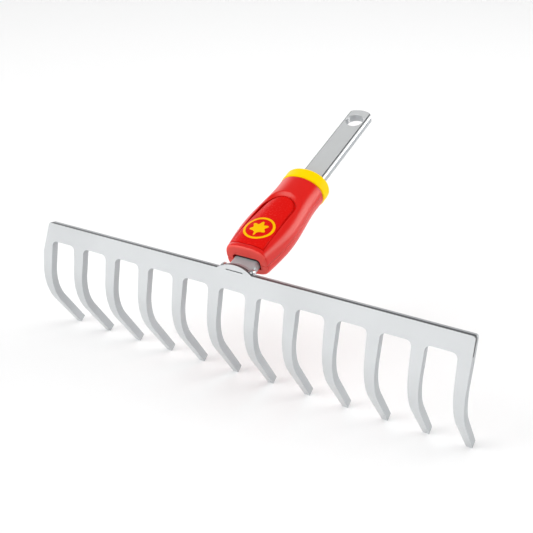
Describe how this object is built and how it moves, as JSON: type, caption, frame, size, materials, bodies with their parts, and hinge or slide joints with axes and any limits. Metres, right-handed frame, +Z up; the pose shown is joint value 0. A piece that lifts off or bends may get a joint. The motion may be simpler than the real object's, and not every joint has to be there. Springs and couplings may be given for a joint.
{
  "type": "garden rake head",
  "caption": "Garden rake head: flat bar of curved flat tines on a long flat tang, with a moulded click-on grip, rocker release button and end ring for a long handle.",
  "frame": {"origin": "centre of the part's box in X and Y, on the plane that the tine tips touch", "axes": "+X along the bar, +Y from the bar towards the handle, +Z up with the tips down"},
  "size_m": [0.2938, 0.1666, 0.1381],
  "materials": {
    "comb_steel": "bright zinc plating, smooth",
    "tang_steel": "bright zinc plating, smooth",
    "weld_steel": "plated weld, uneven",
    "grip_red": "glossy moulded plastic",
    "button_red": "glossy moulded plastic",
    "badge_yellow": "satin inlay",
    "small_steel": "satin steel",
    "spring_steel": "spring steel wire",
    "ring_yellow": "satin moulded plastic"
  },
  "bodies": {
    "head": {"rake_comb": "comb_steel", "tang": "tang_steel", "weld_bead_left": "weld_steel", "weld_bead_right": "weld_steel", "grip_upper_shell": "grip_red", "grip_lower_shell": "grip_red", "pivot_pin": "small_steel", "button_spring": "spring_steel", "shell_screw_1": "small_steel", "shell_screw_2": "small_steel", "end_ring": "ring_yellow"},
    "button": {"release_button": "button_red", "badge_ring": "badge_yellow", "badge_leaf": "badge_yellow", "catch_plate": "small_steel", "catch_rivet_left": "small_steel", "catch_rivet_right": "small_steel"}
  },
  "joints": [
    {"name": "button_rock", "type": "hinge", "parent": "head", "child": "button", "pos_m": [0, -0.03661, 0.09799], "axis": [1, 0, 0], "range_deg": [0, 4], "stiffness_Nm_per_rad": 0.6, "springref_deg": -5.73, "deforming": ["button_spring"]}
  ]
}
